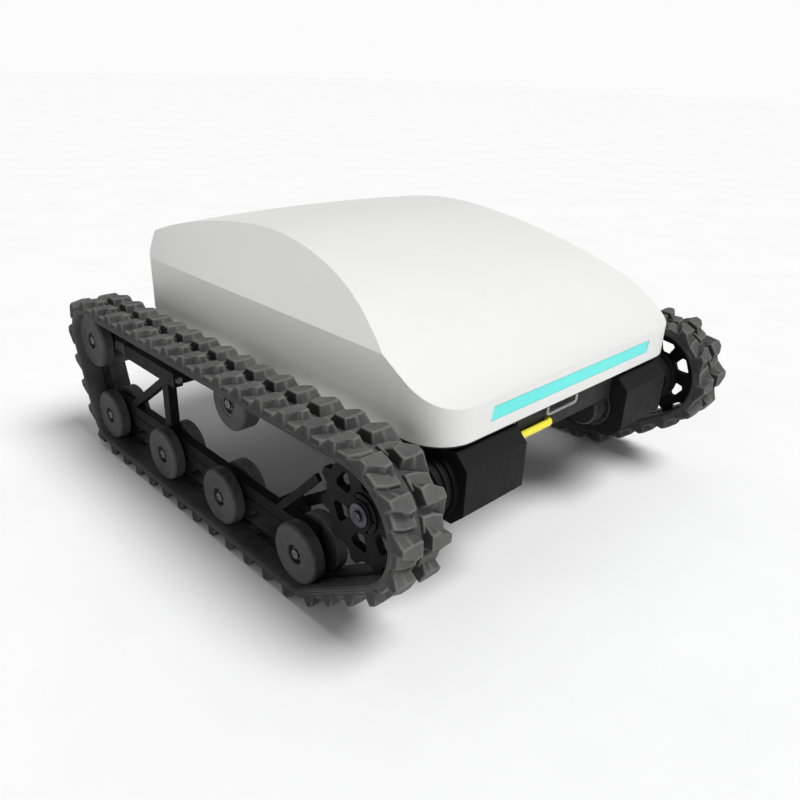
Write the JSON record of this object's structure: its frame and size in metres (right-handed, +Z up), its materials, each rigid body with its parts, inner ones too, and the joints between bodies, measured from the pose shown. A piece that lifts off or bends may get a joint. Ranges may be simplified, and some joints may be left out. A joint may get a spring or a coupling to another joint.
{
  "type": "tracked vehicle chassis",
  "caption": "Low tracked robot chassis: two lugged rubber tracks on dual road wheels with front drive sprockets, side frames, gearmotors and a domed white body cover with a light strip.",
  "frame": {"origin": "centre of the footprint, on the ground plane at the tips of the tread lugs", "axes": "+X forward towards the sprockets and the light strip, +Y to the vehicle's left, +Z up"},
  "size_m": [1.0882, 1, 0.549],
  "materials": {
    "cover_white": "satin moulded shell, fine orange peel",
    "strip_teal": "translucent light strip",
    "belt_rubber": "worn black rubber, dusty on the lug tops",
    "wheel_rubber": "worn grey-black rubber tyre",
    "sprocket_black": "black oxide, worn at the teeth",
    "shaft_steel": "turned steel",
    "gearbox_grey": "powder coat, fine texture",
    "motor_black": "black anodised, finned",
    "frame_black": "black powder coat, scuffed",
    "tensioner_steel": "zinc-phosphate grey",
    "bolt_steel": "zinc plated, dusty",
    "bearing_steel": "ground bearing steel",
    "screw_black": "black oxide",
    "tub_black": "black powder coat",
    "battery_case": "moulded case",
    "heatsink_aluminium": "extruded, anodised",
    "box_grey": "moulded enclosure",
    "cable_yellow": "yellow cable jacket",
    "hook_steel": "bright wire"
  },
  "bodies": {
    "chassis": {"battery_pack": "battery_case", "chassis_tub": "tub_black", "control_box": "box_grey", "cover_screws": "screw_black", "cover_shell": "cover_white", "front_hook": "hook_steel", "left_drive_motor": "motor_black", "left_gearbox": "gearbox_grey", "left_gearbox_screws": "screw_black", "left_outriggers": "frame_black", "left_roller_bracket": "frame_black", "left_side_frame": "frame_black", "left_tensioner_screw": "bolt_steel", "left_tensioner_slide": "tensioner_steel", "left_track_belt": "belt_rubber", "left_wheel_bearings": "bearing_steel", "left_wheel_bolts": "bolt_steel", "left_wheel_pins": "shaft_steel", "light_strip_lens": "strip_teal", "motor_cable": "cable_yellow", "motor_controllers": "heatsink_aluminium", "right_drive_motor": "motor_black", "right_gearbox": "gearbox_grey", "right_gearbox_screws": "screw_black", "right_outriggers": "frame_black", "right_roller_bracket": "frame_black", "right_side_frame": "frame_black", "right_tensioner_screw": "bolt_steel", "right_tensioner_slide": "tensioner_steel", "right_track_belt": "belt_rubber", "right_wheel_bearings": "bearing_steel", "right_wheel_bolts": "bolt_steel", "right_wheel_pins": "shaft_steel"},
    "right_road_wheel_1": {"right_road_wheel_1_outer": "wheel_rubber", "right_road_wheel_1_inner": "wheel_rubber"},
    "right_road_wheel_2": {"right_road_wheel_2_outer": "wheel_rubber", "right_road_wheel_2_inner": "wheel_rubber"},
    "right_road_wheel_3": {"right_road_wheel_3_outer": "wheel_rubber", "right_road_wheel_3_inner": "wheel_rubber"},
    "right_road_wheel_4": {"right_road_wheel_4_outer": "wheel_rubber", "right_road_wheel_4_inner": "wheel_rubber"},
    "right_idler_wheel": {"right_idler_wheel_outer": "wheel_rubber", "right_idler_wheel_inner": "wheel_rubber"},
    "right_top_roller": {"right_top_roller": "wheel_rubber"},
    "right_drive_sprocket": {"right_drive_sprocket": "sprocket_black", "right_drive_shaft": "shaft_steel"},
    "left_road_wheel_1": {"left_road_wheel_1_outer": "wheel_rubber", "left_road_wheel_1_inner": "wheel_rubber"},
    "left_road_wheel_2": {"left_road_wheel_2_outer": "wheel_rubber", "left_road_wheel_2_inner": "wheel_rubber"},
    "left_road_wheel_3": {"left_road_wheel_3_outer": "wheel_rubber", "left_road_wheel_3_inner": "wheel_rubber"},
    "left_road_wheel_4": {"left_road_wheel_4_outer": "wheel_rubber", "left_road_wheel_4_inner": "wheel_rubber"},
    "left_idler_wheel": {"left_idler_wheel_outer": "wheel_rubber", "left_idler_wheel_inner": "wheel_rubber"},
    "left_top_roller": {"left_top_roller": "wheel_rubber"},
    "left_drive_sprocket": {"left_drive_sprocket": "sprocket_black", "left_drive_shaft": "shaft_steel"}
  },
  "joints": [
    {"name": "right_road_wheel_1_spin", "type": "hinge", "parent": "chassis", "child": "right_road_wheel_1", "pos_m": [-0.40635, -0.45, 0.088], "axis": [0, 1, 0], "continuous": true},
    {"name": "right_road_wheel_2_spin", "type": "hinge", "parent": "chassis", "child": "right_road_wheel_2", "pos_m": [-0.16635, -0.45, 0.088], "axis": [0, 1, 0], "continuous": true},
    {"name": "right_road_wheel_3_spin", "type": "hinge", "parent": "chassis", "child": "right_road_wheel_3", "pos_m": [0.04765, -0.45, 0.088], "axis": [0, 1, 0], "continuous": true},
    {"name": "right_road_wheel_4_spin", "type": "hinge", "parent": "chassis", "child": "right_road_wheel_4", "pos_m": [0.28065, -0.45, 0.088], "axis": [0, 1, 0], "continuous": true},
    {"name": "right_idler_wheel_spin", "type": "hinge", "parent": "chassis", "child": "right_idler_wheel", "pos_m": [-0.45035, -0.45, 0.2535], "axis": [0, 1, 0], "continuous": true},
    {"name": "right_top_roller_spin", "type": "hinge", "parent": "chassis", "child": "right_top_roller", "pos_m": [0.03965, -0.431, 0.26501], "axis": [0, 1, 0], "continuous": true},
    {"name": "right_drive_sprocket_spin", "type": "hinge", "parent": "chassis", "child": "right_drive_sprocket", "pos_m": [0.41565, -0.45, 0.224], "axis": [0, 1, 0], "continuous": true},
    {"name": "left_road_wheel_1_spin", "type": "hinge", "parent": "chassis", "child": "left_road_wheel_1", "pos_m": [-0.40635, 0.45, 0.088], "axis": [0, 1, 0], "continuous": true},
    {"name": "left_road_wheel_2_spin", "type": "hinge", "parent": "chassis", "child": "left_road_wheel_2", "pos_m": [-0.16635, 0.45, 0.088], "axis": [0, 1, 0], "continuous": true},
    {"name": "left_road_wheel_3_spin", "type": "hinge", "parent": "chassis", "child": "left_road_wheel_3", "pos_m": [0.04765, 0.45, 0.088], "axis": [0, 1, 0], "continuous": true},
    {"name": "left_road_wheel_4_spin", "type": "hinge", "parent": "chassis", "child": "left_road_wheel_4", "pos_m": [0.28065, 0.45, 0.088], "axis": [0, 1, 0], "continuous": true},
    {"name": "left_idler_wheel_spin", "type": "hinge", "parent": "chassis", "child": "left_idler_wheel", "pos_m": [-0.45035, 0.45, 0.2535], "axis": [0, 1, 0], "continuous": true},
    {"name": "left_top_roller_spin", "type": "hinge", "parent": "chassis", "child": "left_top_roller", "pos_m": [0.03965, 0.431, 0.26501], "axis": [0, 1, 0], "continuous": true},
    {"name": "left_drive_sprocket_spin", "type": "hinge", "parent": "chassis", "child": "left_drive_sprocket", "pos_m": [0.41565, 0.45, 0.224], "axis": [0, 1, 0], "continuous": true}
  ],
  "couplings": [
    {"joint": "right_road_wheel_1_spin", "follows": "right_drive_sprocket_spin", "ratio": 1.8933},
    {"joint": "right_road_wheel_2_spin", "follows": "right_drive_sprocket_spin", "ratio": 1.8933},
    {"joint": "right_road_wheel_3_spin", "follows": "right_drive_sprocket_spin", "ratio": 1.8933},
    {"joint": "right_road_wheel_4_spin", "follows": "right_drive_sprocket_spin", "ratio": 1.8933},
    {"joint": "right_idler_wheel_spin", "follows": "right_drive_sprocket_spin", "ratio": 1.5224},
    {"joint": "right_top_roller_spin", "follows": "right_drive_sprocket_spin", "ratio": 1.991},
    {"joint": "left_road_wheel_1_spin", "follows": "left_drive_sprocket_spin", "ratio": 1.8933},
    {"joint": "left_road_wheel_2_spin", "follows": "left_drive_sprocket_spin", "ratio": 1.8933},
    {"joint": "left_road_wheel_3_spin", "follows": "left_drive_sprocket_spin", "ratio": 1.8933},
    {"joint": "left_road_wheel_4_spin", "follows": "left_drive_sprocket_spin", "ratio": 1.8933},
    {"joint": "left_idler_wheel_spin", "follows": "left_drive_sprocket_spin", "ratio": 1.5224},
    {"joint": "left_top_roller_spin", "follows": "left_drive_sprocket_spin", "ratio": 1.991}
  ]
}
